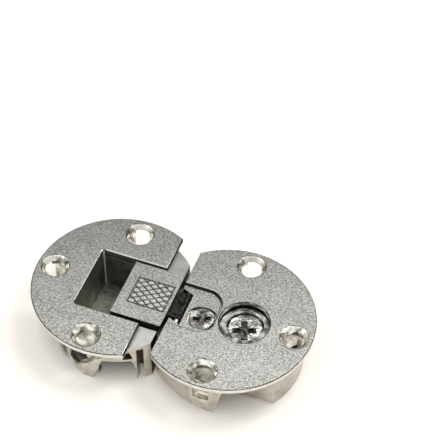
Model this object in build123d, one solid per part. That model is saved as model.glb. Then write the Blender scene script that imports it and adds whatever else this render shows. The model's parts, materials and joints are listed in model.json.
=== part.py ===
from build123d import *
import os
from math import cos, radians, sin, sqrt

# A flush hinge for a drop-down flap: two round cups sunk in two panels, joined by an arm and a pin.
# Origin: in the joint plane between the cups, on the surface that the cup bottoms stand on.
# +X points from the pocket cup to the screw cup, +Y away from the front, +Z out of the panels.

os.makedirs("parts", exist_ok=True)

# Cups
plate_d = 40.0           # round face plate of each cup
plate_t = 1.1
body_d = 35.0            # drilling that the cup body fills
cup_depth = 13.0         # plate top to the cup bottom
wall_t = 1.5             # round wall of the body
cup_offset = 13.3        # joint plane to each cup's centre
edge_round = 0.3         # rounding of the plates' upper edges
screw_inset = 1.75       # fixing screws' centres inside the body's outside
screw_hole_d = 4.7
countersink_d = 6.6
boss_d = 8.2             # metal round each fixing hole
boss_t = 4.0             # below the plate
land_t = 1.0             # upright part of a fixing hole, below the plate
screw_tilt = 32          # slant of the rest of it
tilt_relief = 0.15       # which is wider by this, all round
exit_drop = 2.1          # plate's top to the ways out in the far and end walls
exit_foot = 7.6
exit_end_half = 9        # half width of those in the end walls, in degrees
exit_far_from = 100      # and the edges of those in the far walls
exit_far_to = 80

# Pocket cup
pocket_chord = 4.6       # its plate ends this far before the joint plane
ledge_drop = 1.3         # sunk ledges between the plate and the joint
ledge_t = 1.1
joint_face = 0.5         # end face of the cup, before the joint plane
end_plate_t = 1.3
pocket_w = 16.9
pocket_end = 20.7        # joint plane to the far end of the pocket
pocket_corner_r = 0.8    # its upright corners at that end
floor_t = 0.8
housing_t = 1.5          # walls round the pocket
pad_t = 2.0              # thicker floor under the arm's foot
pad_edge = 0.6           # pad beyond the foot
back_leg_half = 22       # half width of the leg at the back, in degrees

# Front wall of the pocket cup, the same at the back. Angles are degrees clockwise from +X
# round the cup's centre, and drops are below the plate's top.
wall_from = 110
band_drop = 5.9          # lower edge of the band over the arch
arch_from = 80
arch_to = 59
leg_foot_in = 87.5
leg_foot_out = 96
leg_foot_drop = 12.4
leg_corner_drop = 9.6
leg_corner_bend = 107    # the leg's lower corner is cut off in two steps
leg_corner_low = 11.8
web_tip = 54.6
web_tip_drop = 10.0
web_bend = 56.8
web_bend_drop = 7.2
exit_from = 106.5        # opening that the slanted fixing screw leaves through
exit_to = 78
exit_low = 101.5
exit_low_drop = 10.7
exit_side_drop = 8.2
exit_sill = 89
exit_sill_drop = 7.2
exit_tip_drop = 4.4
exit_top_drop = 2.6
hole_from = 65           # small three-cornered hole over the web
hole_top_from = 62
hole_top_to = 59.6
hole_to = 57.6
hole_low_drop = 5.3
hole_side_drop = 4.5
hole_high_drop = 2.9
slit_w = 1.3             # upright slit between the web and the end plate
slit_drop = 2.4
guide_d = 3.4            # upright boss inside the leg
guide_tip_d = 2.0
guide_tip_h = 1.2
guide_drop = 7.2
guide_sunk = 0.35        # guide boss let into the wall
screw_lean = 4.2         # fixing screws beside the pocket lean this far to its end, in degrees

# Slide block with the chequered grip
block_w = 15.4
block_len = 12.05
block_t = 2.5
lip_t = 0.5              # thin lip of the block over the end face
block_gap = 0.1          # block to the end face of the cup
rib_h = 0.8              # ribs of the block that run in the pocket's grooves
rib_proud = 0.4
slide_clear = 0.12
slide_travel = 8.2
rib_drop = 1.6           # plate top to the top of a rib
rib_start = 4.95         # joint plane to the joint end of a rib
grip_len = 9.1
grip_w = 7.8
grip_edge = 0.7          # joint end of the grip to the joint plane
grip_pitch = 1.3
groove_w = 0.34
groove_depth = 0.22
grip_angle = 33.0

# Hinge pin and arm
pin_d = 1.5
pin_x = 2.35
pin_drop = 1.9           # plate top to the pin's axis
knuckle_r = 1.1
arm_w = 7.2
arm_t = 2.5
arm_clear = 0.2          # between the arm and the slide block above it
neck_t = 2.1
neck_foot = 1.2          # arm's lower edge starts to rise this far before the joint plane
heel_h = 0.9             # slope under the neck
arm_end = 10.5
foot_len = 4.0
fit_clear = 0.04         # radial clearance of the pin and the journal
rivet_d = 2.4
rivet_head_d = 3.8
rivet_head_t = 0.8
rivet_spread = 3.6
rivet_reach = 4.0        # rivet above the floor pad

# Brake spring between the arm and the slide block
spring_len = 5.4
spring_w = 3.0
spring_t = 0.25
spring_recess = 0.75     # pocket for it in the arm
spring_gap = 0.25
spring_touch = 0.02      # crest to the block above

# Carriage that the screw cup shifts on
screw_chord = 0.75       # the screw cup's plate starts this far after the joint plane
tongue_drop = 0.85
tongue_w = 11.7
tongue_end = 10.4
tongue_gap = 0.15        # tongue to the sides of the opening in the plate
carriage_bottom = 5.0    # plate top to the carriage's underside
flange_w = 13.2          # flanges of the carriage under the plate
flange_gap = 0.15
room_relief = 0.1        # the carriage's room, let into the plate's underside
opening_end = 10.95
opening_r = 4.0
opening_near_r = 3.4
slot_end = 3.6
slot_near = 4.05         # near side of the slot at the joint end
slot_near_in = 5.2       # and at its inner end
slot_far = 4.9
slot_far_in = 3.8
shift_each_way = 0.45    # side adjustment

# Eccentric adjusting screw
adjust_x = 17.3
access_d = 11.4          # hole in the plate above the screw
eye_drop = 1.6           # plate top to the top of the carriage's eye
head_drop = 3.0          # plate top to the screw's head
head_d = 8.2
collar_t = 1.6
eccentric = 0.7
collar_gap = 0.12
journal_d = 5.0
web_t = 1.3              # floor under the carriage
boss_below = 2.2         # bearing boss under that floor
journal_boss_d = 9.0
circlip_t = 0.7
circlip_d = 8.0
circlip_mouth = 2.8
circlip_gap = 0.05
circlip_seat_d = 4.2     # journal inside the clip's groove
journal_over = 0.6       # journal past the clip
washer_gap = 0.1
washer_t = 0.3
shoulder_w = 0.8         # shoulder round the journal

# Clamp screw
clamp_x = 7.7
clamp_y = -1.6
clamp_head_d = 6.1
clamp_head_t = 1.6
clamp_drop = 1.0
clamp_shank_d = 3.4
nut_w = 6.5
nut_t = 2.4
nut_gap = 0.05
nut_wall = 1.2           # walls round the nut
clamp_over = 1.0         # screw past the nut
thread_gap = 0.05
shank_gap = 0.25         # shank to the sides of the carriage's slot
recess_gap = 0.15

# Driver recesses
driver_depth = 1.1
driver_floor = 0.55      # wing's length at the bottom, as a share of its length at the top
driver_floor_d = 1.2
driver_turn = 20
tick_w = 0.3             # fine marks between the wings
tick_depth = 0.25
tick_reach = 0.85        # share of the wings' length
head_edge = 0.3          # chamfer round the screws' heads
adjust_driver = 5.4      # across the wings
adjust_wing = 1.5
clamp_driver = 4.0
clamp_wing = 1.1

# Housing of the screw cup
screw_housing_w = 19.6
screw_housing_end = 27.9
screw_wall_gap = 0.2     # end wall behind the plate's straight edge
housing_foot = 0.4       # housing's lower edge above the cup bottom
foot_half = 34           # half width of the round wall at the back, in degrees
cutter_over = 0.1        # how far a cutter runs past the face it opens

# Front wall of the screw cup, the same at the back
screw_wall_from = 140
gap_from = 70.5          # open gap beside the leg, at the plate
gap_foot = 80            # and at the foot
low_from = 2.6           # lower edge near the joint, above the cup bottom
low_bend = 112
low_to = 0.8
window_from = 96         # shallow window with two slots
window_to = 83.6
window_top = 5.0
window_low = 8.1
window_deep = 0.55
window_slot_from = 92.5
window_slot_t = 0.75
window_slot_drops = (5.25, 7.1)
notch_from = 98          # way out for the fixing screw, hidden under the plate's rim
notch_to = 82
notch_drop = 3.6

top = cup_depth
plate_under = top - plate_t
body_r = body_d / 2
screw_circle_r = body_r - screw_inset
pin_z = top - pin_drop
low = (Align.CENTER, Align.CENTER, Align.MIN)


def disc(d, x, y, z0, z1):
    return Pos(x, y, z0) * Cylinder(d / 2, z1 - z0, align=low)


def block(x0, x1, y0, y1, z0, z1):
    return Pos((x0 + x1) / 2, (y0 + y1) / 2, z0) * Box(x1 - x0, y1 - y0, z1 - z0, align=low)


def plan(points, z0, z1):
    return Pos(0, 0, z0) * extrude(make_face(Polyline(*points, close=True)), amount=z1 - z0)


def side(points, y0, y1):
    """Outline in X and Z, run along Y."""
    face = make_face(Polyline(*[(x, y0, z) for x, z in points], close=True))
    return extrude(face, amount=y1 - y0, dir=(0, 1, 0))


def both_sides(solid):
    return solid + mirror(solid, about=Plane.XZ)


def sector(x, a0, a1, z0, z1):
    """Part of the round wall between two angles, in degrees from +X."""
    steps = 8                # keeps each side of the fan outside the wall
    fan = [(x, 0)]
    for i in range(steps + 1):
        a = radians(a0 + (a1 - a0) * i / steps)
        fan.append((x + body_d * cos(a), body_d * sin(a)))
    ring = disc(body_d, x, 0, z0, z1) - disc(body_d - 2 * wall_t, x, 0, z0, z1)
    return ring & plan(fan, z0, z1)


def screw_places(x, angles):
    return [
        (x + screw_circle_r * cos(radians(a)), screw_circle_r * sin(radians(a))) for a in angles
    ]


def screw_bosses(x, angles):
    """Metal round the fixing holes, cut off at the body's outside."""
    bosses = None
    for px, py in screw_places(x, angles):
        one = disc(boss_d, px, py, plate_under - boss_t, plate_under)
        bosses = one if bosses is None else bosses + one
    return bosses & disc(body_d, x, 0, 0, top)


def screw_holes(x, angles):
    sink = (countersink_d - screw_hole_d) / 2
    holes = None
    for px, py in screw_places(x, angles):
        cone = Pos(px, py, top - sink) * Cone(screw_hole_d / 2, countersink_d / 2, sink, align=low)
        one = cone + disc(screw_hole_d, px, py, plate_under - land_t, top)
        holes = one if holes is None else holes + one
    return holes


def round_top_edges(solid):
    return fillet(solid.edges().group_by(Axis.Z)[-1], edge_round)


def driver_recess(x, y, z, d, wing):
    """Cross recess whose wings slope in to the middle, with a fine mark between each two."""
    half = d / 2
    inner = half * driver_floor
    cut = Pos(0, 0, -driver_depth) * Cone(driver_floor_d / 2, wing, driver_depth, align=low)
    for turn in (0, 90):
        outline = [(-half, 0), (half, 0), (inner, -driver_depth), (-inner, -driver_depth)]
        cut += Rot(0, 0, turn) * side(outline, -wing / 2, wing / 2)
        tick = Box(d * tick_reach, tick_w, tick_depth, align=low)
        cut += Rot(0, 0, turn + 45) * Pos(0, 0, -tick_depth) * tick
    return Pos(x, y, z) * Rot(0, 0, driver_turn) * cut


def screw_head(d, x, y, z, t):
    return disc(d, x, y, z - t, z - head_edge) + Pos(x, y, z - head_edge) * Cone(
        d / 2, d / 2 - head_edge, head_edge, align=low)


# Pocket cup

def pocket_cup():
    x = -cup_offset
    angles = (90 + screw_lean, 180, 270 - screw_lean)
    plate = disc(plate_d, x, 0, plate_under, top) & block(-plate_d, -pocket_chord, -plate_d, plate_d, 0, top)
    ledge_top = top - ledge_drop
    round_body = disc(body_d, x, 0, 0, top)
    ledge_in = pocket_chord + wall_t
    ledge = block(-ledge_in, -pocket_chord, -body_r, body_r, ledge_top - ledge_t, plate_under)
    ledge += block(-pocket_chord, -joint_face, -body_r, body_r, ledge_top - ledge_t, ledge_top)
    end_back = -joint_face - end_plate_t
    end_plate = block(end_back, -joint_face, -body_r, body_r, 0, ledge_top)
    housing_w = pocket_w + 2 * housing_t
    housing = block(-pocket_end - housing_t, -pocket_chord, -housing_w / 2, housing_w / 2, 0, plate_under)
    housing += block(-pocket_chord, -joint_face, -housing_w / 2, housing_w / 2, 0, ledge_top)
    walls = both_sides(near_wall()) - block(-pocket_chord, 0, -plate_d, plate_d, ledge_top, top)
    back_leg = sector(x, 180 - back_leg_half, 180 + back_leg_half, 0, plate_under)
    cup = plate + (ledge + end_plate + housing + walls + back_leg & round_body)
    cup += screw_bosses(x, angles)
    pocket = block(-pocket_end, end_back, -pocket_w / 2, pocket_w / 2, floor_t, 2 * top)
    pocket = fillet(pocket.edges().filter_by(Axis.Z).sort_by(Axis.X)[:2], pocket_corner_r)
    mouth_low = top - block_t - arm_clear - arm_t - arm_clear
    mouth = block(end_back, 0, -pocket_w / 2, pocket_w / 2, mouth_low, 2 * top)
    rib_top = top - rib_drop + slide_clear
    groove_half = block_w / 2 + rib_side() + slide_clear
    grooves = block(
        -block_len - slide_travel - slide_clear, -rib_start + slide_clear,
        -groove_half, groove_half, rib_top - rib_h - 2 * slide_clear, rib_top,
    )
    cup = cup - pocket - mouth - grooves - screw_holes(x, angles) - [slanted_hole(x, a) for a in angles]
    cup -= [way_out(x), far_exit(x), end_exit(x, 180)]
    cup += block(-arm_end - pad_edge, -arm_end + foot_len + pad_edge, -arm_w / 2 - pad_edge,
                 arm_w / 2 + pad_edge, 0, pad_t)
    for px, py in rivet_places():
        cup -= disc(rivet_d, px, py, 0, pad_t)
        cup -= Pos(px, py, 0) * Cone(rivet_head_d / 2, rivet_d / 2, rivet_head_t, align=low)
    return round_top_edges(cup)


def rib_side():
    return (pocket_w - block_w) / 2 + rib_proud


def on_wall(x, points):
    """Outline in X and Z from angles round the front of a cup and drops below its plate's top."""
    return [(x + body_r * cos(radians(a)), top - drop) for a, drop in points]


def near_wall():
    """Round wall at the front of the pocket cup: a leg, an arch and a web."""
    x = -cup_offset
    below = 2 * top
    wall = sector(x, -wall_from, 0, 0, plate_under) & block(-plate_d, -joint_face, -plate_d, 0, 0, top)
    front, inside = -plate_d / 2, -body_r + 3 * wall_t
    arch = on_wall(x, [
        (arch_from, band_drop), (arch_to, band_drop), (web_bend, web_bend_drop), (web_tip, web_tip_drop),
        (web_tip, below), (leg_foot_in, below), (leg_foot_in, leg_foot_drop),
    ])
    corner = on_wall(x, [
        (wall_from, leg_corner_drop), (leg_corner_bend, leg_corner_drop), (exit_low, leg_corner_low),
        (leg_foot_out, leg_foot_drop), (leg_foot_out, below), (wall_from, below),
    ])
    hole = on_wall(x, [
        (hole_from, hole_low_drop), (hole_top_from, hole_high_drop), (hole_top_to, hole_high_drop),
        (hole_to, hole_side_drop), (hole_to, hole_low_drop),
    ])
    wall -= side(corner, front, inside)
    end_back = -joint_face - end_plate_t
    deep = -pocket_w / 2 - housing_t
    for outline in (arch, hole):
        wall -= side(outline, front, deep)
    wall -= block(end_back - slit_w, end_back, -plate_d, deep, -top, top - slit_drop)
    guide_y = -body_r + wall_t / 2 + guide_d / 2 - guide_sunk
    guide_x = -cup_offset
    guide_top = top - guide_drop - guide_tip_h
    guide = disc(guide_d, guide_x, guide_y, floor_t, guide_top)
    guide += Pos(guide_x, guide_y, guide_top) * Cone(guide_d / 2, guide_tip_d / 2, guide_tip_h, align=low)
    return wall + guide


def slanted_hole(x, angle):
    """Rest of a fixing hole, as far as the round wall."""
    bore = Cylinder(screw_hole_d / 2 + tilt_relief, 2 * cup_depth)
    way = Pos(screw_circle_r, 0, plate_under - land_t) * Rot(0, 180 - screw_tilt, 0) * bore
    way = way & block(0, plate_d, -plate_d, plate_d, 0, plate_under - land_t)
    way = way & disc(body_d - 2 * wall_t + 2 * cutter_over, 0, 0, 0, top)
    return Pos(x, 0, 0) * Rot(0, 0, angle) * way


def way_out(x):
    """Opening in the pocket cup's front leg."""
    outline = on_wall(x, [
        (exit_from, exit_top_drop), (exit_from, exit_side_drop), (exit_low, exit_low_drop),
        (exit_sill, exit_sill_drop), (exit_to, exit_tip_drop), (exit_to, exit_top_drop),
    ])
    return side(outline, -plate_d / 2, -body_r + 3 * wall_t) - disc(body_d - 2 * wall_t, x, 0, 0, top)


def far_exit(x):
    return sector(x, exit_far_to, exit_far_from, top - exit_foot, top - exit_drop)


def end_exit(x, angle):
    return sector(x, angle - exit_end_half, angle + exit_end_half, top - exit_foot, top - exit_drop)


def rivet_places():
    return [(-arm_end + foot_len / 2, s * rivet_spread / 2) for s in (-1, 1)]


def arm():
    under_block = top - block_t - arm_clear
    arm_low = under_block - arm_t
    step = joint_face - arm_clear / 2
    neck_low = pin_z - knuckle_r
    neck_high = neck_low + neck_t
    outline = [
        (pin_x, neck_high), (-step, neck_high), (-step, under_block), (-arm_end, under_block),
        (-arm_end, pad_t), (-arm_end + foot_len, pad_t), (-arm_end + foot_len, arm_low),
        (-neck_foot, arm_low), (-neck_foot + heel_h, arm_low + heel_h),
        (pin_x / 2, neck_low), (pin_x, neck_low),
    ]
    body = side(outline, -arm_w / 2, arm_w / 2)
    body += Pos(pin_x, 0, pin_z) * Rot(90, 0, 0) * Cylinder(knuckle_r, arm_w)
    body -= Pos(pin_x, 0, pin_z) * Rot(90, 0, 0) * Cylinder(pin_d / 2 + fit_clear, flange_w)
    room_x, room_y = spring_len / 2 + spring_gap, spring_w / 2 + spring_gap
    body -= block(-arm_end / 2 - room_x, -arm_end / 2 + room_x, -room_y, room_y,
                  under_block - spring_recess, under_block)
    for px, py in rivet_places():
        body -= disc(rivet_d, px, py, 0, pad_t + rivet_reach)
    return body


def arm_rivets():
    rivets = []
    for px, py in rivet_places():
        one = disc(rivet_d, px, py, 0, pad_t + rivet_reach)
        one += Pos(px, py, 0) * Cone(rivet_head_d / 2, rivet_d / 2, rivet_head_t, align=low)
        rivets.append(one)
    return Compound(children=rivets)


def brake_spring():
    """Bowed strip that lies in the arm and rubs under the slide block."""
    base = top - block_t - arm_clear - spring_recess
    crest = top - block_t - spring_touch
    x = -arm_end / 2
    half = spring_len / 2
    rise = crest - base
    outer = ThreePointArc((x - half, 0, base + spring_t), (x, 0, base + rise), (x + half, 0, base + spring_t))
    inner = ThreePointArc((x + half, 0, base), (x, 0, base + rise - spring_t), (x - half, 0, base))
    ends = [Line(outer @ 1, inner @ 0), Line(inner @ 1, outer @ 0)]
    face = make_face([outer, ends[0], inner, ends[1]])
    return extrude(face, amount=spring_w / 2, both=True)


def slide_block():
    half = block_w / 2
    body = block(-block_len, -joint_face - block_gap, -half, half, top - block_t, top)
    body += block(-joint_face - block_gap, 0, -half, half, top - lip_t, top)
    ribs = block(-block_len, -rib_start, -half - rib_side(), half + rib_side(),
                 top - rib_drop - rib_h, top - rib_drop)
    body += ribs
    frame = block(-grip_edge - grip_len, -grip_edge, -grip_w / 2, grip_w / 2, top - groove_depth, top)
    inner = block(-grip_edge - grip_len + groove_w, -grip_edge - groove_w, -grip_w / 2 + groove_w,
                  grip_w / 2 - groove_w, top - groove_depth, top)
    body -= frame - inner
    cuts = []
    count = int(grip_len / grip_pitch)
    for way in (grip_angle, -grip_angle):
        for i in range(-count, count + 1):
            groove = Box(3 * grip_len, groove_w, groove_depth, align=low)
            line = Rot(0, 0, way) * Pos(0, i * grip_pitch, top - groove_depth) * groove
            cuts.append(Pos(-grip_edge - grip_len / 2, 0, 0) * line & inner)
    return body - [c for c in cuts if c.volume > 0]


# Screw cup

def opening_outline():
    """Opening in the screw cup's plate that the tongue shows through."""
    outline = Rectangle(2 * opening_end, tongue_w + 2 * tongue_gap)
    outline = fillet(outline.vertices().sort_by(lambda corner: corner.X - corner.Y)[-1], opening_near_r)
    return fillet(outline.vertices().sort_by(lambda corner: corner.X + corner.Y)[-1], opening_r)


def screw_cup():
    x = cup_offset
    angles = (0, 90, 270)
    plate = disc(plate_d, x, 0, plate_under, top) & block(screw_chord, 2 * plate_d, -plate_d, plate_d, 0, top)
    round_body = disc(body_d, x, 0, 0, top)
    wall_start = screw_chord + screw_wall_gap
    walls = both_sides(screw_near_wall()) + sector(x, -foot_half, foot_half, 0, plate_under)
    end_wall = block(wall_start, wall_start + wall_t, -body_r, body_r, low_from, plate_under)
    half = screw_housing_w / 2
    housing = block(wall_start, screw_housing_end, -half, half, housing_foot, plate_under)
    hollow = block(wall_start + wall_t, screw_housing_end - wall_t, -half + wall_t, half - wall_t, 0,
                   top - carriage_bottom - flange_gap - web_t)
    cup = plate + (walls + end_wall + housing & round_body) - hollow
    cup += screw_bosses(x, angles)
    web_low = top - carriage_bottom - flange_gap - web_t
    cup += disc(journal_boss_d, adjust_x, 0, web_low - boss_below, web_low)
    nut_out, nut_in = nut_w / 2 + nut_wall, nut_w / 2
    cup += block(clamp_x - nut_out, clamp_x + nut_out, clamp_y - nut_out, clamp_y + nut_out,
                 web_low - nut_t, web_low)
    cup -= Pos(0, 0, plate_under - cutter_over) * extrude(opening_outline(), amount=2 * plate_t)
    room = flange_w / 2 + flange_gap
    cavity_low = top - carriage_bottom - flange_gap
    cavity_top = plate_under + room_relief
    cavity = block(0, adjust_x, -room, room, cavity_low, cavity_top)
    cavity += disc(2 * (room + shift_each_way), adjust_x, 0, cavity_low, cavity_top)
    cup -= cavity & block(0, 2 * plate_d, -room, room, 0, top)
    cup -= disc(access_d, adjust_x, 0, plate_under - cutter_over, 2 * top)
    cup -= disc(journal_d + 2 * fit_clear, adjust_x, 0, 0, top)
    cup -= disc(clamp_shank_d, clamp_x, clamp_y, 0, top - carriage_bottom)
    cup -= block(clamp_x - nut_in, clamp_x + nut_in, clamp_y - nut_in, clamp_y + nut_in,
                 web_low - nut_t, web_low)
    cup = cup - screw_holes(x, angles) - [slanted_hole(x, a) for a in angles]
    cup = cup - screw_window(x) - [far_exit(x), end_exit(x, 0)]
    return round_top_edges(cup)


def screw_near_wall():
    """Round wall at the front of the screw cup, with the gap beside the foot."""
    x = cup_offset
    below = 2 * top
    wall = sector(x, -screw_wall_from, -gap_from, low_to, plate_under)
    wall = wall & block(screw_chord + screw_wall_gap, 2 * plate_d, -plate_d, 0, 0, top)
    front = -plate_d / 2
    inside = -body_r * sin(radians(screw_wall_from))
    gap = on_wall(x, [
        (gap_from, plate_t), (gap_foot, top - low_to), (gap_foot, below), (0, below), (0, plate_t),
    ])
    rise = on_wall(x, [
        (screw_wall_from, below), (screw_wall_from, top - low_from), (low_bend, top - low_from),
        (gap_foot, top - low_to), (gap_foot, below),
    ])
    for outline in (gap, rise):
        wall -= side(outline, front, inside + wall_t)
    return wall


def wall_slot(x, a0, a1, drop0, drop1, depth):
    """Opening in a front wall between two angles and two drops."""
    outline = on_wall(x, [(a0, drop0), (a1, drop0), (a1, drop1), (a0, drop1)])
    return side(outline, -plate_d / 2, -body_r + depth)


def screw_window(x):
    """Shallow window with two slots in the front wall, and the notch over it."""
    through = wall_t + cutter_over
    cuts = [
        wall_slot(x, notch_from, notch_to, plate_t + land_t, notch_drop, through),
        wall_slot(x, window_from, window_to, window_top, window_low, window_deep),
    ]
    for drop in window_slot_drops:
        cuts.append(wall_slot(x, window_slot_from, window_to, drop, drop + window_slot_t, through))
    return cuts


def carriage():
    z0 = top - carriage_bottom
    half = flange_w / 2
    base = block(screw_chord, adjust_x, -half, half, z0, plate_under - flange_gap)
    base += disc(flange_w, adjust_x, 0, z0, plate_under - flange_gap)
    base -= block(opening_end, 2 * plate_d, -plate_d, plate_d, top - eye_drop, top)
    shape = extrude(opening_outline(), amount=carriage_bottom - tongue_drop)
    raised = Pos(-(opening_end - tongue_end), 0, z0) * shape
    raised = raised & block(screw_chord, tongue_end, -tongue_w / 2, tongue_w / 2, z0, top)
    body = base + raised
    turned = eccentric - sqrt(eccentric ** 2 - shift_each_way ** 2) + collar_gap
    for dy in (0, -turned):
        body -= disc(head_d + 2 * collar_gap, adjust_x, eccentric + dy, 0, top)
    slot = [
        (screw_chord, -slot_near), (slot_end, -slot_near_in),
        (slot_end, slot_far_in), (screw_chord, slot_far),
    ]
    body -= plan(slot, 0, top)
    body -= hinge_pin()
    reach = clamp_head_d / 2 + recess_gap
    recess_low = top - clamp_drop - clamp_head_t
    for s in (-shift_each_way, 0, shift_each_way):
        body -= disc(2 * reach, clamp_x + s, clamp_y, recess_low, top)
        body -= disc(clamp_shank_d + 2 * shank_gap, clamp_x + s, clamp_y, 0, top)
    return body


def hinge_pin():
    return Pos(pin_x, 0, pin_z) * Rot(90, 0, 0) * Cylinder(pin_d / 2, flange_w)


def eccentric_screw():
    head_z = top - head_drop
    body = screw_head(head_d, adjust_x, eccentric, head_z, collar_t)
    web_top = top - carriage_bottom - flange_gap
    body += disc(journal_d + 2 * shoulder_w, adjust_x, 0, web_top + washer_t, head_z - collar_t)
    groove_z = web_top - web_t - boss_below - circlip_t
    body += disc(journal_d, adjust_x, 0, groove_z - journal_over, web_top + washer_t)
    groove = disc(head_d, adjust_x, 0, groove_z, groove_z + circlip_t)
    body -= groove - disc(circlip_seat_d, adjust_x, 0, groove_z, groove_z + circlip_t)
    return body - driver_recess(adjust_x, 0, head_z, adjust_driver, adjust_wing)


def wave_washer():
    web_top = top - carriage_bottom - flange_gap
    ring = disc(journal_d + 2 * shoulder_w, adjust_x, 0, web_top, web_top + washer_t)
    return ring - disc(journal_d + 2 * washer_gap, adjust_x, 0, web_top, web_top + washer_t)


def circlip():
    web_low = top - carriage_bottom - flange_gap - web_t - boss_below
    ring = disc(circlip_d, adjust_x, 0, web_low - circlip_t, web_low - circlip_gap)
    ring -= disc(circlip_seat_d, adjust_x, 0, web_low - circlip_t, web_low)
    half = circlip_mouth / 2
    return ring - block(adjust_x, adjust_x + circlip_d, -half, half, 0, web_low)


def clamp_screw():
    z = top - clamp_drop
    head = screw_head(clamp_head_d, clamp_x, clamp_y, z, clamp_head_t)
    low_z = top - carriage_bottom - flange_gap - web_t - nut_t - clamp_over
    body = head + disc(clamp_shank_d - 2 * thread_gap, clamp_x, clamp_y, low_z, z - clamp_head_t)
    return body - driver_recess(clamp_x, clamp_y, z, clamp_driver, clamp_wing)


def clamp_nut():
    web_low = top - carriage_bottom - flange_gap - web_t
    half = nut_w / 2 - nut_gap
    nut = block(clamp_x - half, clamp_x + half, clamp_y - half, clamp_y + half,
                web_low - nut_t + nut_gap, web_low)
    return nut - disc(clamp_shank_d, clamp_x, clamp_y, 0, top)


nodes = {
    "pocket_cup": pocket_cup, "hinge_arm": arm, "arm_rivets": arm_rivets, "brake_spring": brake_spring,
    "slide_block": slide_block, "carriage": carriage, "hinge_pin": hinge_pin, "screw_cup": screw_cup,
    "eccentric_screw": eccentric_screw, "wave_washer": wave_washer, "circlip": circlip,
    "clamp_screw": clamp_screw, "clamp_nut": clamp_nut,
}
for name, make in nodes.items():
    export_step(make(), f"parts/{name}.step")
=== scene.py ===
import json
from math import pi, radians

import bmesh
import bpy
from mathutils import Euler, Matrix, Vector


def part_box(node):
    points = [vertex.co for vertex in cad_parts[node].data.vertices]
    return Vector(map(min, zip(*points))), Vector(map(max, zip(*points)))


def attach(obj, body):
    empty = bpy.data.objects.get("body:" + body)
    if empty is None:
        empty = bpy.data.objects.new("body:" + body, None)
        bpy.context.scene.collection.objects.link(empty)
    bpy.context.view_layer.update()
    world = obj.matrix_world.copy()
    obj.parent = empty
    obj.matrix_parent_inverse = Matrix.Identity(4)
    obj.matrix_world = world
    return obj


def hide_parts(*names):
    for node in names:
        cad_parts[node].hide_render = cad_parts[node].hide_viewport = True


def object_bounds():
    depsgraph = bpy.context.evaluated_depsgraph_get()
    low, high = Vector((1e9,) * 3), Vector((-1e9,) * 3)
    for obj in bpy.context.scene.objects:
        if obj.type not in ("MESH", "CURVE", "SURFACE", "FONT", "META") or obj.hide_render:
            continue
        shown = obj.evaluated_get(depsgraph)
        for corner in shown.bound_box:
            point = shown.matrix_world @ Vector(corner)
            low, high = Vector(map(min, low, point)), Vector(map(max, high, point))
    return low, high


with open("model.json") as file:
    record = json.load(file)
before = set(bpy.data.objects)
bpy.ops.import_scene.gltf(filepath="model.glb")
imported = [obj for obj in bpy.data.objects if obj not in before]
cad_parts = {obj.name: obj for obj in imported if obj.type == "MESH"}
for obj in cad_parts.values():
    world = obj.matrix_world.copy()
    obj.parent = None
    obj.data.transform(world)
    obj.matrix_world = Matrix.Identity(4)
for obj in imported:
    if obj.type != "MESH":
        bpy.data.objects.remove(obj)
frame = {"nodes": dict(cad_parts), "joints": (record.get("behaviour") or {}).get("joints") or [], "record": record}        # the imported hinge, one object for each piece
cadLow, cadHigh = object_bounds()
mm = 0.001
print("frame loaded:", len(frame["nodes"]), "pieces")


# Places, read from the frame

def named(rows, name):
    return next(row for row in rows if row["name"] == name)


record = frame["record"]
plateTop = cadHigh.z
pocketCupLow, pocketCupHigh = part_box("pocket_cup")
plateRadius = (pocketCupHigh.y - pocketCupLow.y) / 2
cupCentres = {
    "pocket_cup": Vector((pocketCupLow.x + plateRadius, 0, plateTop)),
    "screw_cup": Vector((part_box("screw_cup")[1].x - plateRadius, 0, plateTop)),
}
adjustPlace = Vector(named(frame["joints"], "adjuster_turn")["pos_m"])
clampPlace = Vector(named(frame["joints"], "clamp_turn")["pos_m"])
pocketSpace = named(record["physics"]["openings"], "slide_pocket")["box_m"]
pocketLow, pocketHigh = [Vector(corner) for corner in pocketSpace]
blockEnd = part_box("slide_block")[1].x


def fixingHoles(cup):
    # centres of the cup's three fixing holes, at its plate's top
    pattern = named(record["mounts"], cup + "_screws")
    end = named(record["mounts"], cup + "_end_screw")["pos_m"]
    half = pattern["dims"]["spacing_y_mm"] * mm / 2
    sides = [Vector((pattern["pos_m"][0], side * half, plateTop)) for side in (-1, 1)]
    return sides + [Vector((end[0], end[1], plateTop))]


holePlaces = {cup: fixingHoles(cup) for cup in cupCentres}


# Colours and nodes

def srgb(hexColour):
    # linear colour from an sRGB hex value
    parts = [int(hexColour[i:i + 2], 16) / 255 for i in (0, 2, 4)]
    return [c / 12.92 if c <= 0.04045 else ((c + 0.055) / 1.055) ** 2.4 for c in parts] + [1.0]


def addNode(tree, kind, settings=None, links=None):
    node = tree.nodes.new(kind)
    for key, value in (settings or {}).items():
        if isinstance(key, str) and hasattr(node, key):
            setattr(node, key, value)
        else:
            node.inputs[key].default_value = value
    for key, source in (links or {}).items():
        tree.links.new(source, node.inputs[key])
    return node


def perMm(sizeMm):
    return 1 / (sizeMm * mm)          # texture scale for a pattern this wide


def emptyMaterial(name):
    material = bpy.data.materials.new(name)
    material.use_nodes = True
    material.node_tree.nodes.clear()
    return material, material.node_tree, addNode(material.node_tree, "ShaderNodeOutputMaterial")


# Finishes. Widths and heights are in mm: patch is the width of a patch of one tone, drift that of the slow
# change over it, grain and height those of the relief. rough goes with the two tones, softness blends them,
# and belt scales the pattern along the axes, where less than 1 draws it out.

noiseMiddle = 0.5
plainDetail = 2.0            # of the drift and of the relief


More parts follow.
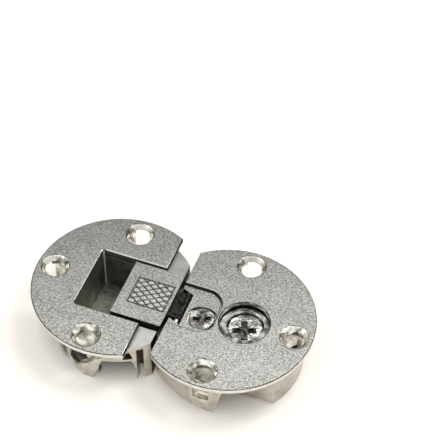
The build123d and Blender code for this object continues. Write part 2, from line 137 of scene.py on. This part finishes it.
def metalFinish(name, look):
    # two tones in fine patches that drift over a wider area, under a relief of fine grain
    material, tree, output = emptyMaterial(name)
    shader = addNode(tree, "ShaderNodeBsdfPrincipled", {"Metallic": look.get("metallic", 1.0)})
    tree.links.new(shader.outputs["BSDF"], output.inputs["Surface"])
    place = addNode(tree, "ShaderNodeTexCoord").outputs["Object"]
    belt = addNode(tree, "ShaderNodeMapping", {"Scale": look.get("belt", (1, 1, 1))}, {"Vector": place})
    place = belt.outputs["Vector"]
    patches = addNode(tree, "ShaderNodeTexNoise", {"Scale": perMm(look["patch"]), "Detail": look["detail"]},
                      {"Vector": place})
    drift = addNode(tree, "ShaderNodeTexNoise", {"Scale": perMm(look["drift"]), "Detail": plainDetail},
                    {"Vector": place})
    driftShare = addNode(tree, "ShaderNodeMath", {"operation": "MULTIPLY_ADD", 1: look["driftShare"],
                                                  2: -look["driftShare"] / 2}, {0: drift.outputs["Fac"]})
    blend = addNode(tree, "ShaderNodeMath", {"operation": "ADD"},
                    {0: patches.outputs["Fac"], 1: driftShare.outputs[0]})
    tone = addNode(tree, "ShaderNodeMapRange", {"From Min": noiseMiddle - look["softness"],
                                                "From Max": noiseMiddle + look["softness"]},
                   {"Value": blend.outputs[0]})
    colour = addNode(tree, "ShaderNodeMix", {"data_type": "RGBA", "A": srgb(look["tones"][0]),
                                             "B": srgb(look["tones"][1])},
                     {"Factor": tone.outputs["Result"]})
    tree.links.new(colour.outputs["Result"], shader.inputs["Base Color"])
    gloss = addNode(tree, "ShaderNodeMapRange", {"To Min": look["rough"][0], "To Max": look["rough"][1]},
                    {"Value": tone.outputs["Result"]})
    tree.links.new(gloss.outputs["Result"], shader.inputs["Roughness"])
    grain = addNode(tree, "ShaderNodeTexNoise", {"Scale": perMm(look["grain"]), "Detail": plainDetail},
                    {"Vector": place})
    bump = addNode(tree, "ShaderNodeBump", {"Strength": 1.0, "Distance": look["height"] * mm},
                   {"Height": grain.outputs["Fac"]})
    tree.links.new(bump.outputs["Normal"], shader.inputs["Normal"])
    return material


# Matt nickel over the sanded face of a zinc die casting: dull silver with a salt-and-pepper grain,
# a little drawn out along the belt. The real grain is near 0.2 mm and is drawn coarser, so that it shows.
sandedNickel = metalFinish("sandedNickel", {
    "tones": ("8e8d86", "e9e8e3"), "softness": 0.16, "patch": 0.34, "detail": 1.5, "drift": 5.0,
    "driftShare": 0.12, "rough": (0.5, 0.4), "grain": 0.36, "height": 0.07, "belt": (0.8, 1.35, 1)})

# The same nickel on the sunk ledges, out of reach of the sanding belt: even and paler.
ledgeNickel = metalFinish("ledgeNickel", {
    "tones": ("d2d1ce", "e6e5e2"), "softness": 0.3, "patch": 1.6, "detail": 2.0, "drift": 6.0,
    "driftShare": 0.2, "rough": (0.34, 0.42), "grain": 0.5, "height": 0.012})

# Nickel over the as-cast walls: smooth, warm and pale, its tone changing slowly.
castNickel = metalFinish("castNickel", {
    "tones": ("b7b2a6", "dad5cb"), "softness": 0.22, "patch": 2.2, "detail": 2.5, "drift": 9.0,
    "driftShare": 0.3, "rough": (0.4, 0.3), "grain": 0.9, "height": 0.02})

# Inside the pocket cup's round wall: brown-grey and dark, painted shade.
innerShadeNickel = metalFinish("innerShadeNickel", {
    "tones": ("35322d", "5f5b53"), "softness": 0.25, "patch": 1.8, "detail": 2.0, "drift": 6.0,
    "driftShare": 0.3, "rough": (0.55, 0.42), "grain": 0.7, "height": 0.02, "metallic": 0.8})

# Nickel on rounded rims: smoother, it mirrors the room softly, and its paler tone is a painted highlight.
rimHighlightNickel = metalFinish("rimHighlightNickel", {
    "tones": ("cfccc4", "ebe9e3"), "softness": 0.3, "patch": 0.9, "detail": 2.0, "drift": 6.0,
    "driftShare": 0.2, "rough": (0.3, 0.2), "grain": 0.6, "height": 0.02})

# Nickel in the countersinks: bright and dark patches with a shade of green, painted reflections.
sinkReflectionNickel = metalFinish("sinkReflectionNickel", {
    "tones": ("807e73", "fbf9f0"), "softness": 0.12, "patch": 1.5, "detail": 1.5, "drift": 4.0,
    "driftShare": 0.3, "rough": (0.24, 0.12), "grain": 1.2, "height": 0.1})

# The same in the slanted bores below: pale and partly matt, painted light in the bores.
boreLightNickel = metalFinish("boreLightNickel", {
    "tones": ("a3a092", "fffdf4"), "softness": 0.14, "patch": 1.6, "detail": 1.5, "drift": 4.0,
    "driftShare": 0.3, "rough": (0.42, 0.3), "grain": 1.2, "height": 0.08, "metallic": 0.45})

# Deep in the pocket: greyer and duller than outside, painted shade.
pocketShadeNickel = metalFinish("pocketShadeNickel", {
    "tones": ("6d6f63", "959689"), "softness": 0.22, "patch": 2.6, "detail": 2.5, "drift": 7.0,
    "driftShare": 0.4, "rough": (0.5, 0.38), "grain": 0.8, "height": 0.02, "metallic": 0.8})

# The pocket's floor: painted shade, a little lighter than on the walls, and rougher.
pocketFloorShadeNickel = metalFinish("pocketFloorShadeNickel", {
    "tones": ("80827a", "b4b5a9"), "softness": 0.18, "patch": 1.3, "detail": 2.5, "drift": 5.0,
    "driftShare": 0.3, "rough": (0.5, 0.38), "grain": 0.6, "height": 0.04, "metallic": 0.75})

# The upright corners of the pocket's far end: a thin pale line, a painted highlight, drawn
# matt and without metal, so that it shows from every side.
cornerHighlightNickel = metalFinish("cornerHighlightNickel", {
    "tones": ("f0eee4", "ffffff"), "softness": 0.3, "patch": 2.0, "detail": 2.0, "drift": 5.0,
    "driftShare": 0.3, "rough": (0.5, 0.45), "grain": 0.6, "height": 0.01, "metallic": 0.0})

# Rounded edge of a sanded face: a thin dark line of painted shade.
edgeShadeNickel = metalFinish("edgeShadeNickel", {
    "tones": ("23221f", "5c5a54"), "softness": 0.2, "patch": 0.7, "detail": 1.0, "drift": 5.0,
    "driftShare": 0.3, "rough": (0.4, 0.3), "grain": 0.5, "height": 0.02})

# Zinc in the narrow gaps and on hidden sides: nearly black, painted shade.
gapShadeZinc = metalFinish("gapShadeZinc", {
    "tones": ("191917", "33322e"), "softness": 0.25, "patch": 0.8, "detail": 2.0, "drift": 4.0,
    "driftShare": 0.2, "rough": (0.6, 0.5), "grain": 0.5, "height": 0.02, "metallic": 0.6})

# Chequered grip: the points are painted brighter than the face, a painted highlight.
gripHighlightNickel = metalFinish("gripHighlightNickel", {
    "tones": ("c6c5bf", "ffffff"), "softness": 0.18, "patch": 0.5, "detail": 1.0, "drift": 3.0,
    "driftShare": 0.2, "rough": (0.46, 0.36), "grain": 0.5, "height": 0.05})

# Its grooves are painted dark, painted shade.
grooveShadeNickel = metalFinish("grooveShadeNickel", {
    "tones": ("46443f", "8c8a83"), "softness": 0.18, "patch": 0.6, "detail": 2.0, "drift": 3.0,
    "driftShare": 0.3, "rough": (0.6, 0.5), "grain": 0.4, "height": 0.02})

# Sintered steel arm with an open grain, painted dark as the shade in the slot.
sinteredShadeSteel = metalFinish("sinteredShadeSteel", {
    "tones": ("171716", "4c4b48"), "softness": 0.16, "patch": 0.5, "detail": 1.5, "drift": 2.5,
    "driftShare": 0.2, "rough": (0.62, 0.5), "grain": 0.45, "height": 0.06})

# Eye of the carriage, barrel-plated, and the access hole round it: darker, painted shade, with streaks of
# painted reflection.
eyeShadeNickel = metalFinish("eyeShadeNickel", {
    "tones": ("5b5a55", "d8d7d0"), "softness": 0.12, "patch": 1.3, "detail": 1.5, "drift": 4.0,
    "driftShare": 0.3, "rough": (0.26, 0.14), "grain": 0.8, "height": 0.04, "belt": (0.6, 0.6, 4)})

# Bright nickel on the cold-formed screws: mirror-like, a touch warm, its dark and white patches painted
# reflections.
brightScrewReflection = metalFinish("brightScrewReflection", {
    "tones": ("8f8d85", "ffffff"), "softness": 0.1, "patch": 1.8, "detail": 1.0, "drift": 4.0,
    "driftShare": 0.2, "rough": (0.16, 0.08), "grain": 0.9, "height": 0.05})

# The screws' driver recesses: dull and dark, painted shade.
recessShadeNickel = metalFinish("recessShadeNickel", {
    "tones": ("2e2c26", "8f8d80"), "softness": 0.14, "patch": 0.9, "detail": 1.5, "drift": 3.0,
    "driftShare": 0.2, "rough": (0.3, 0.16), "grain": 0.7, "height": 0.03})

# Zinc-plated rolled steel of the pin, the rivets and the nut.
rolledSteel = metalFinish("rolledSteel", {
    "tones": ("8f8e8a", "b8b7b2"), "softness": 0.25, "patch": 1.2, "detail": 2.0, "drift": 4.0,
    "driftShare": 0.2, "rough": (0.34, 0.26), "grain": 0.5, "height": 0.01})

# Oiled spring steel of the washer, the clip and the brake strip.
springSteel = metalFinish("springSteel", {
    "tones": ("504f4c", "7d7c77"), "softness": 0.25, "patch": 1.0, "detail": 2.0, "drift": 4.0,
    "driftShare": 0.2, "rough": (0.34, 0.26), "grain": 0.5, "height": 0.01})
print("finishes made:", len(bpy.data.materials))


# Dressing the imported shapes

shading = {
    "weld": 1e-7,            # m, doubles closer than this are merged
    "flatAngle": 0.6,        # degrees, faces closer to one plane are joined
    "sharpAngle": 28,        # edges sharper than this are rounded
    "creaseAngle": 40,       # and stay a crease in the shading above this
    "roundSteps": 2,         # faces across a rounded edge
    "flatArea": 0.25,        # mm², larger faces square to an axis are shaded flat
    "square": 0.9999,        # least share of the normal along an axis for that
    "facing": 0.9,           # least share for a face to count as one that looks that way
}


def shadeByAngle(bm):
    for face in bm.faces:
        isLarge = face.calc_area() > shading["flatArea"] * mm * mm
        face.smooth = not (isLarge and max(abs(n) for n in face.normal) > shading["square"])
    crease = radians(shading["creaseAngle"])
    for edge in bm.edges:
        edge.smooth = len(edge.link_faces) == 2 and edge.calc_face_angle(pi) < crease


def dress(node, body, edgeRound, pick):
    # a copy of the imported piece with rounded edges, and a finish for each kind of face
    bm = bmesh.new()
    bm.from_mesh(frame["nodes"][node].data)
    bmesh.ops.remove_doubles(bm, verts=bm.verts, dist=shading["weld"])
    bmesh.ops.dissolve_limit(bm, angle_limit=radians(shading["flatAngle"]), verts=bm.verts, edges=bm.edges)
    sharp = [e for e in bm.edges if len(e.link_faces) == 2
             and e.calc_face_angle(0) > radians(shading["sharpAngle"])]
    finishes = []
    for face in bm.faces:
        finish = pick(face)
        if finish not in finishes:
            finishes.append(finish)
        face.material_index = finishes.index(finish)
    bmesh.ops.bevel(bm, geom=sharp, offset=edgeRound * mm, offset_type="OFFSET", affect="EDGES",
                    segments=shading["roundSteps"], profile=0.5, material=-1, clamp_overlap=True)
    bm.normal_update()
    shadeByAngle(bm)
    mesh = bpy.data.meshes.new(node + "Dressed")
    bm.to_mesh(mesh)
    bm.free()
    for finish in finishes:
        mesh.materials.append(finish)
    piece = bpy.data.objects.new(node + "Dressed", mesh)
    bpy.context.scene.collection.objects.link(piece)
    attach(piece, body)
    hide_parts(node)
    print("dressed", node, len(mesh.polygons), "faces")


# Cups. Lengths are in mm, and depths are below the plate's top. An angle here is the upward share of a
# face's normal, 1 on a level face and 0 on an upright one.

cupLook = {
    "edgeRound": 0.05,
    "faceBand": 0.03,        # depth down to which a level face still counts as the plate's top
    "rimBand": 0.35,         # rounded rims reach this deep
    "rimSlack": 0.1,         # faces this close to the plate's radius are its rim
    "lineAngle": (0.62, 0.985),          # painted dark line of shade on the plate's rounding, level faces are above it
    "holeReach": 5.0,        # a fixing hole and its slanted bore lie within this distance of its middle
    "mouthAngle": 0.885,     # above this, faces round a countersink's mouth are painted as a dark line of shade
    "sinkDepth": 1.9,        # where the countersink ends
    "holeDepth": 8.0,        # where the slanted bore ends
    "bodyRadius": 17.4,      # what lies outside this isn't part of a bore
    "innerRadius": 16.2,     # what lies inside this is within the round wall
    "wallSlack": 0.35,       # the pocket's walls stand this far beyond its free space
    "ledgeFrom": -4.62,      # joint end of the pocket cup's plate
    "stepLean": 0.4,         # least share of the normal towards the joint, on the step to the ledges
    "ledgeBand": (1.2, 1.5),             # depths between which the ledges lie
    "gapDepth": 1.35,        # sides of the gaps in the plate reach this deep
    "jointEnds": (-0.6, 1.2),            # the cups' faces at the joint lie between these, along X
    "aslant": 0.05,          # least share of the normal of a face that leans a little
    "cornerLean": 0.3,       # the same towards the joint, on the pocket's upright corners
    "cornerSpread": 0.3,     # most that the normal's shares along the corner's two walls differ
    "openingEnd": 11.4,      # opening for the tongue, from the joint plane, with its rounded edge
    "openingHalf": 6.35,
    "openingAngle": 0.86,    # below this, its sides and the steep part of their rounding
    "accessRadius": 5.95,    # access hole with its rounding
    "accessAngle": 0.8,      # above this, the nearly level part of that rounding
}


def onCup(face, cup):
    # depth of a face, and how far it is from the cup's middle and from its nearest fixing hole, in mm
    place = face.calc_center_median()
    depth = (plateTop - place.z) / mm
    radial = (place - cupCentres[cup]).xy.length / mm
    nearest = min((place - hole).xy.length for hole in holePlaces[cup]) / mm
    return place, face.normal, depth, radial, nearest


def isPlateTop(normal, depth):
    return normal.z > cupLook["lineAngle"][1] and depth < cupLook["faceBand"]


def isShadeLine(normal, radial, depth):
    # part of the plate's rounding that is painted as a dark line of shade
    low, high = cupLook["lineAngle"]
    isOuter = radial > plateRadius / mm - cupLook["rimBand"]
    return isOuter and depth < cupLook["rimBand"] and low < normal.z < high


def holeFinish(normal, radial, depth, nearest):
    # painted dark line at the mouth, countersink with painted reflections and slanted bore with painted
    # light, of a fixing hole, or nothing elsewhere
    if nearest >= cupLook["holeReach"]:
        return None
    if depth < cupLook["rimBand"] and normal.z > cupLook["mouthAngle"]:
        return edgeShadeNickel
    if depth < cupLook["holeDepth"] and radial < cupLook["bodyRadius"]:
        return sinkReflectionNickel if depth < cupLook["sinkDepth"] else boreLightNickel
    return None


def isInPocket(place):
    slack = cupLook["wallSlack"] * mm
    inWidth = pocketLow.y - slack < place.y < pocketHigh.y + slack
    return inWidth and pocketLow.x - slack < place.x < cupLook["jointEnds"][0] * mm


def pocketFinish(normal):
    # painted shade on the pocket's walls and floor, a painted highlight on its upright corners
    if normal.x > cupLook["cornerLean"] and abs(normal.x - abs(normal.y)) < cupLook["cornerSpread"]:
        return cornerHighlightNickel
    return pocketFloorShadeNickel if normal.z > shading["facing"] else pocketShadeNickel


def pocketCupFinish(face):
    place, normal, depth, radial, nearest = onCup(face, "pocket_cup")
    hole = holeFinish(normal, radial, depth, nearest)
    ledgeStart = cupLook["ledgeFrom"] - cupLook["rimBand"]
    if isPlateTop(normal, depth):
        return sandedNickel
    if normal.x > cupLook["stepLean"] and place.x / mm > ledgeStart and depth < cupLook["gapDepth"]:
        return gapShadeZinc                                 # step down to the ledges, painted shade
    if isShadeLine(normal, radial, depth):
        return edgeShadeNickel
    if isInPocket(place) and normal.x > cupLook["aslant"] and depth < cupLook["rimBand"]:
        return edgeShadeNickel                              # edge of the pocket's far end, a painted dark line
    if hole:
        return hole
    if depth < cupLook["rimBand"]:
        return rimHighlightNickel
    # faces at the joint: painted shade
    if normal.x > shading["facing"] and place.x > cupLook["jointEnds"][0] * mm:
        return gapShadeZinc
    if normal.z > shading["facing"] and cupLook["ledgeBand"][0] < depth < cupLook["ledgeBand"][1]:
        return ledgeNickel
    if isInPocket(place):
        return pocketFinish(normal)
    if radial > plateRadius / mm - cupLook["rimSlack"]:
        return rimHighlightNickel
    # inside the round wall: painted shade
    return innerShadeNickel if radial < cupLook["innerRadius"] else castNickel


def screwCupFinish(face):
    place, normal, depth, radial, nearest = onCup(face, "screw_cup")
    hole = holeFinish(normal, radial, depth, nearest)
    inOpening = place.x < cupLook["openingEnd"] * mm and abs(place.y) < cupLook["openingHalf"] * mm
    isSide = normal.z < cupLook["openingAngle"] or normal.y > cupLook["aslant"]
    inAccess = (place - adjustPlace).xy.length / mm < cupLook["accessRadius"]
    if isPlateTop(normal, depth):
        return sandedNickel
    if isShadeLine(normal, radial, depth):
        return edgeShadeNickel
    if inOpening and isSide and depth < cupLook["gapDepth"]:
        return gapShadeZinc                                 # sides of the tongue's opening, painted shade
    if hole:
        return hole
    # access hole: a painted dark line on its level rounding, painted shade below
    if inAccess and depth < cupLook["gapDepth"]:
        return edgeShadeNickel if normal.z > cupLook["accessAngle"] else eyeShadeNickel
    if depth < cupLook["rimBand"]:
        return rimHighlightNickel
    # face at the joint: painted shade
    if normal.x < -shading["facing"] and place.x < cupLook["jointEnds"][1] * mm:
        return gapShadeZinc
    return rimHighlightNickel if radial > plateRadius / mm - cupLook["rimSlack"] else castNickel


dress("pocket_cup", "pocket_side", cupLook["edgeRound"], pocketCupFinish)
dress("screw_cup", "flap_side", cupLook["edgeRound"], screwCupFinish)


# Sliding block, in mm

blockLook = {
    "edgeRound": 0.08,       # rubbed edges of the block and of the grip's points
    "faceBand": 0.03,        # depth down to which a face still counts as the block's top
    "grooveDepth": 0.24,
    "gripLength": 9.1,
    "gripWidth": 7.8,
    "gripEnd": 0.7,          # from the block's joint end
    "borderWidth": 0.36,     # groove round the grip, painted darkest with shade at both ends and on the near side
    "pointArea": 3.0,        # mm², the grip's points are smaller than this
}


def blockFinish(face):
    place, normal = face.calc_center_median(), face.normal
    depth = (plateTop - place.z) / mm
    along = (blockEnd - place.x) / mm - blockLook["gripEnd"]
    half = blockLook["gripWidth"] / 2
    border = blockLook["borderWidth"]
    inGrip = 0 < along < blockLook["gripLength"] and abs(place.y) < half * mm
    inBorder = not border < along < blockLook["gripLength"] - border or place.y < (border - half) * mm
    isPoint = face.calc_area() < blockLook["pointArea"] * mm * mm
    if inGrip and isPoint and depth < blockLook["faceBand"]:
        return gripHighlightNickel
    # the grip's grooves: painted shade, darkest in the border
    if inGrip and blockLook["faceBand"] < depth < blockLook["grooveDepth"]:
        return gapShadeZinc if inBorder else grooveShadeNickel
    if normal.z > shading["facing"] and depth < blockLook["faceBand"]:
        return sandedNickel
    # the block's sides and lower faces: painted shade
    return gapShadeZinc


dress("slide_block", "slide", blockLook["edgeRound"], blockFinish)


# Carriage, in mm

carriageLook = {
    "edgeRound": 0.06,
    "tongueDrop": 1.0,       # the tongue's face lies less than this below the plate's top
    "eyeFrom": 10.9,         # the eye starts this far after the joint plane
    "clampReach": 3.6,       # seat of the clamp screw, from its middle
    "slotFrom": 3.7,         # inner end of the slot, from the joint plane
}


def carriageFinish(face):
    place, normal = face.calc_center_median(), face.normal
    depth = (plateTop - place.z) / mm
    if normal.z > shading["facing"] and depth < carriageLook["tongueDrop"]:
        return sandedNickel
    if place.x > carriageLook["eyeFrom"] * mm:
        return eyeShadeNickel
    # seat of the clamp screw: paler, a painted highlight
    if (place - clampPlace).xy.length < carriageLook["clampReach"] * mm:
        return rimHighlightNickel
    # in the slot: painted shade
    if place.x < carriageLook["slotFrom"] * mm:
        return gapShadeZinc
    return castNickel


dress("carriage", "carriage_side", carriageLook["edgeRound"], carriageFinish)


# Screws, in mm

screwLook = {
    "edgeRound": 0.06,
    "recessBand": (0.04, 1.2),           # depths below the head's top, between which the recess is painted dark with shade
    "recessRadius": {"eccentric_screw": 2.85, "clamp_screw": 2.15},
}


def screwFinish(node, middle):
    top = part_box(node)[1].z
    start, end = screwLook["recessBand"]

    def pick(face):
        place = face.calc_center_median()
        inRecess = (place - middle).xy.length < screwLook["recessRadius"][node] * mm
        inBand = top - end * mm <= place.z < top - start * mm
        return recessShadeNickel if inRecess and inBand else brightScrewReflection
    return pick


dress("eccentric_screw", "adjuster", screwLook["edgeRound"],
      screwFinish("eccentric_screw", adjustPlace))
dress("clamp_screw", "clamp", screwLook["edgeRound"],
      screwFinish("clamp_screw", clampPlace))


# Arm and the small hidden pieces

smallPieces = {              # body, slot, finish and edge rounding in mm
    "hinge_arm": ("pocket_side", "plain_steel", sinteredShadeSteel, 0.06),
    "arm_rivets": ("pocket_side", "plain_steel", rolledSteel, 0.04),
    "hinge_pin": ("carriage_side", "plain_steel", rolledSteel, 0.04),
    "clamp_nut": ("flap_side", "plain_steel", rolledSteel, 0.04),
    "brake_spring": ("pocket_side", "spring_steel", springSteel, 0.02),
    "wave_washer": ("flap_side", "spring_steel", springSteel, 0.03),
    "circlip": ("adjuster", "spring_steel", springSteel, 0.04),
}
for node, (body, slot, finish, edgeRound) in smallPieces.items():
    dress(node, body, edgeRound, lambda face, own=finish: own)
print("hinge dressed")


# Studio, in metres

studio = {
    "floorSize": 3.0,
    "floorDrop": 0.0001,     # the paper lies this far under the cups
    "floorColour": "f7f3ed",
    "floorGlow": 0.34,       # 1 is white
    "glowColour": "fff9f0",
    "glowFrom": 0.0125,      # from a cup's middle, where the paper starts to glow
    "glowTo": 0.02,          # and where it glows fully
    "worldLight": 0.62,      # on the object, the background itself is 1
    "paintedShadowSpot": (-0.0182, -0.0085, 0),   # middle of a painted shadow on the paper under the pocket cup's far end
    "shadowFadeEnd": (0.0055, 0.0065),          # the painted shadow fades out between these distances
    "paintedShadowShare": 0.02,       # of the paper's colour, left in the painted shadow
}
softboxes = {                # place, size and brightness
    "keySoftbox": {"place": (0.3, 0.24, 0.82), "size": 0.32, "glow": 8.0},
    "fillSoftbox": {"place": (-0.55, -0.35, 0.6), "size": 0.4, "glow": 1.5},
}
cards = {                    # grey and dark cards that only reflections see
    "frontCard": {"place": (0.13, -0.36, 0.72), "size": (0.5, 0.36), "colour": "6e6e6c"},
    "backCard": {"place": (-0.02, 0.06, 0.055), "size": (0.26, 0.05), "colour": "8a8a88"},
    "lowBackCard": {"place": (0.0, 0.058, 0.015), "size": (0.2, 0.03), "colour": "141413"},
    "lowLeftCard": {"place": (-0.085, 0.0, 0.015), "size": (0.14, 0.03), "colour": "141413"},
    "lowRightCard": {"place": (0.085, 0.0, 0.015), "size": (0.14, 0.03), "colour": "141413"},
}


def seenDirectly(tree):
    # 1 for camera, glossy and transmission rays
    path = addNode(tree, "ShaderNodeLightPath")
    first = addNode(tree, "ShaderNodeMath", {"operation": "MAXIMUM"},
                    {0: path.outputs["Is Camera Ray"], 1: path.outputs["Is Glossy Ray"]})
    return addNode(tree, "ShaderNodeMath", {"operation": "MAXIMUM"},
                   {0: first.outputs[0], 1: path.outputs["Is Transmission Ray"]}).outputs[0]


def addSheet(name, size, place=(0, 0, 0), turn=(0, 0, 0)):
    bm = bmesh.new()
    bmesh.ops.create_grid(bm, x_segments=1, y_segments=1, size=0.5)      # 1 m wide
    bmesh.ops.scale(bm, verts=bm.verts, vec=(*size, 1))
    mesh = bpy.data.meshes.new(name)
    bm.to_mesh(mesh)
    bm.free()
    sheet = bpy.data.objects.new(name, mesh)
    sheet.location = place
    sheet.rotation_euler = turn
    bpy.context.scene.collection.objects.link(sheet)
    return sheet


def paperShadowTone(tree, spot):
    # the paper's colour, with a painted shadow in the spot under the pocket cup
    fromSpot = addNode(tree, "ShaderNodeVectorMath", {"operation": "DISTANCE", 1: studio["paintedShadowSpot"]},
                       {0: spot})
    shadowFadeStart, shadowFadeEnd = studio["shadowFadeEnd"]
    outside = addNode(tree, "ShaderNodeMapRange", {"From Min": shadowFadeStart, "From Max": shadowFadeEnd,
                                                   "To Min": studio["paintedShadowShare"]},
                      {"Value": fromSpot.outputs["Value"]})
    return addNode(tree, "ShaderNodeMix", {"data_type": "RGBA", "A": srgb("000000"),
                                           "B": srgb(studio["floorColour"])},
                   {"Factor": outside.outputs["Result"]}).outputs["Result"]


def paperGlow(tree, spot):
    # how much the paper glows by itself: not under the cups, and only where it is seen directly
    away = [addNode(tree, "ShaderNodeVectorMath", {"operation": "DISTANCE", 1: (middle.x, middle.y, 0)},
                    {0: spot}).outputs["Value"] for middle in cupCentres.values()]
    nearer = addNode(tree, "ShaderNodeMath", {"operation": "MINIMUM"}, {0: away[0], 1: away[1]})
    share = addNode(tree, "ShaderNodeMapRange", {"From Min": studio["glowFrom"],
                                                 "From Max": studio["glowTo"],
                                                 "To Max": studio["floorGlow"]},
                    {"Value": nearer.outputs[0]})
    return addNode(tree, "ShaderNodeMath", {"operation": "MULTIPLY"},
                   {0: seenDirectly(tree), 1: share.outputs["Result"]}).outputs[0]


def makeFloor():
    # matt white paper that keeps the shadow, with a painted shadow under the pocket cup
    size = studio["floorSize"]
    floor = addSheet("studioFloor", (size, size), place=(0, 0, -studio["floorDrop"]))
    material, tree, output = emptyMaterial("studioPaper")
    spot = addNode(tree, "ShaderNodeTexCoord").outputs["Object"]
    paper = addNode(tree, "ShaderNodeBsdfDiffuse", links={"Color": paperShadowTone(tree, spot)})
    glow = addNode(tree, "ShaderNodeEmission", {"Color": srgb(studio["glowColour"])},
                   {"Strength": paperGlow(tree, spot)})
    both = addNode(tree, "ShaderNodeAddShader", links={0: paper.outputs[0], 1: glow.outputs[0]})
    tree.links.new(both.outputs[0], output.inputs["Surface"])
    floor.data.materials.append(material)


def makeWorld():
    world = bpy.data.worlds.new("studioWorld")
    bpy.context.scene.world = world
    world.use_nodes = True
    tree = world.node_tree
    tree.nodes.clear()
    output = addNode(tree, "ShaderNodeOutputWorld")
    strength = addNode(tree, "ShaderNodeMapRange", {"To Min": studio["worldLight"], "To Max": 1.0},
                       {"Value": seenDirectly(tree)})
    sky = addNode(tree, "ShaderNodeBackground", {"Color": srgb("ffffff")},
                  {"Strength": strength.outputs["Result"]})
    tree.links.new(sky.outputs[0], output.inputs["Surface"])


def aimAtHinge(place):
    # turn that points a lamp at the origin, and sets a card square to the way there
    return (-Vector(place)).to_track_quat("-Z", "Y").to_euler()


def addSoftbox(name, settings):
    light = bpy.data.lights.new(name, "AREA")
    light.shape = "SQUARE"
    light.size = settings["size"]
    light.energy = settings["glow"] * pi * settings["size"] ** 2
    lamp = bpy.data.objects.new(name, light)
    lamp.location = settings["place"]
    lamp.rotation_euler = aimAtHinge(settings["place"])
    bpy.context.scene.collection.objects.link(lamp)


def addCard(name, settings):
    card = addSheet(name, settings["size"], settings["place"], aimAtHinge(settings["place"]))
    card.visible_camera = False
    card.visible_diffuse = False
    card.visible_shadow = False
    material, tree, output = emptyMaterial(name)
    glow = addNode(tree, "ShaderNodeEmission", {"Color": srgb(settings["colour"])})
    tree.links.new(glow.outputs[0], output.inputs["Surface"])
    card.data.materials.append(material)


makeFloor()
makeWorld()
for name, settings in softboxes.items():
    addSoftbox(name, settings)
for name, settings in cards.items():
    addCard(name, settings)
print("studio made:", len(softboxes), "softboxes and", len(cards), "cards")


# Camera

view = {
    "place": (93.03, -217.14, 310.94),     # mm
    "turn": (41.139, 0.048, 20.973),       # degrees
    "lens": 137.585,                       # mm
    "sensor": 36.0,                        # mm, along the picture's long side
    "clipStart": 0.01,                     # m
}
camera = bpy.data.cameras.new("studioCamera")
camera.sensor_width = view["sensor"]
camera.lens = view["lens"]
camera.clip_start = view["clipStart"]
cameraObject = bpy.data.objects.new("studioCamera", camera)
cameraObject.location = Vector(view["place"]) * mm
cameraObject.rotation_euler = Euler([radians(a) for a in view["turn"]], "XYZ")
bpy.context.scene.collection.objects.link(cameraObject)
bpy.context.scene.camera = cameraObject
bpy.context.scene.view_settings.view_transform = "Standard"
print("camera set")

bpy.context.view_layer.update()
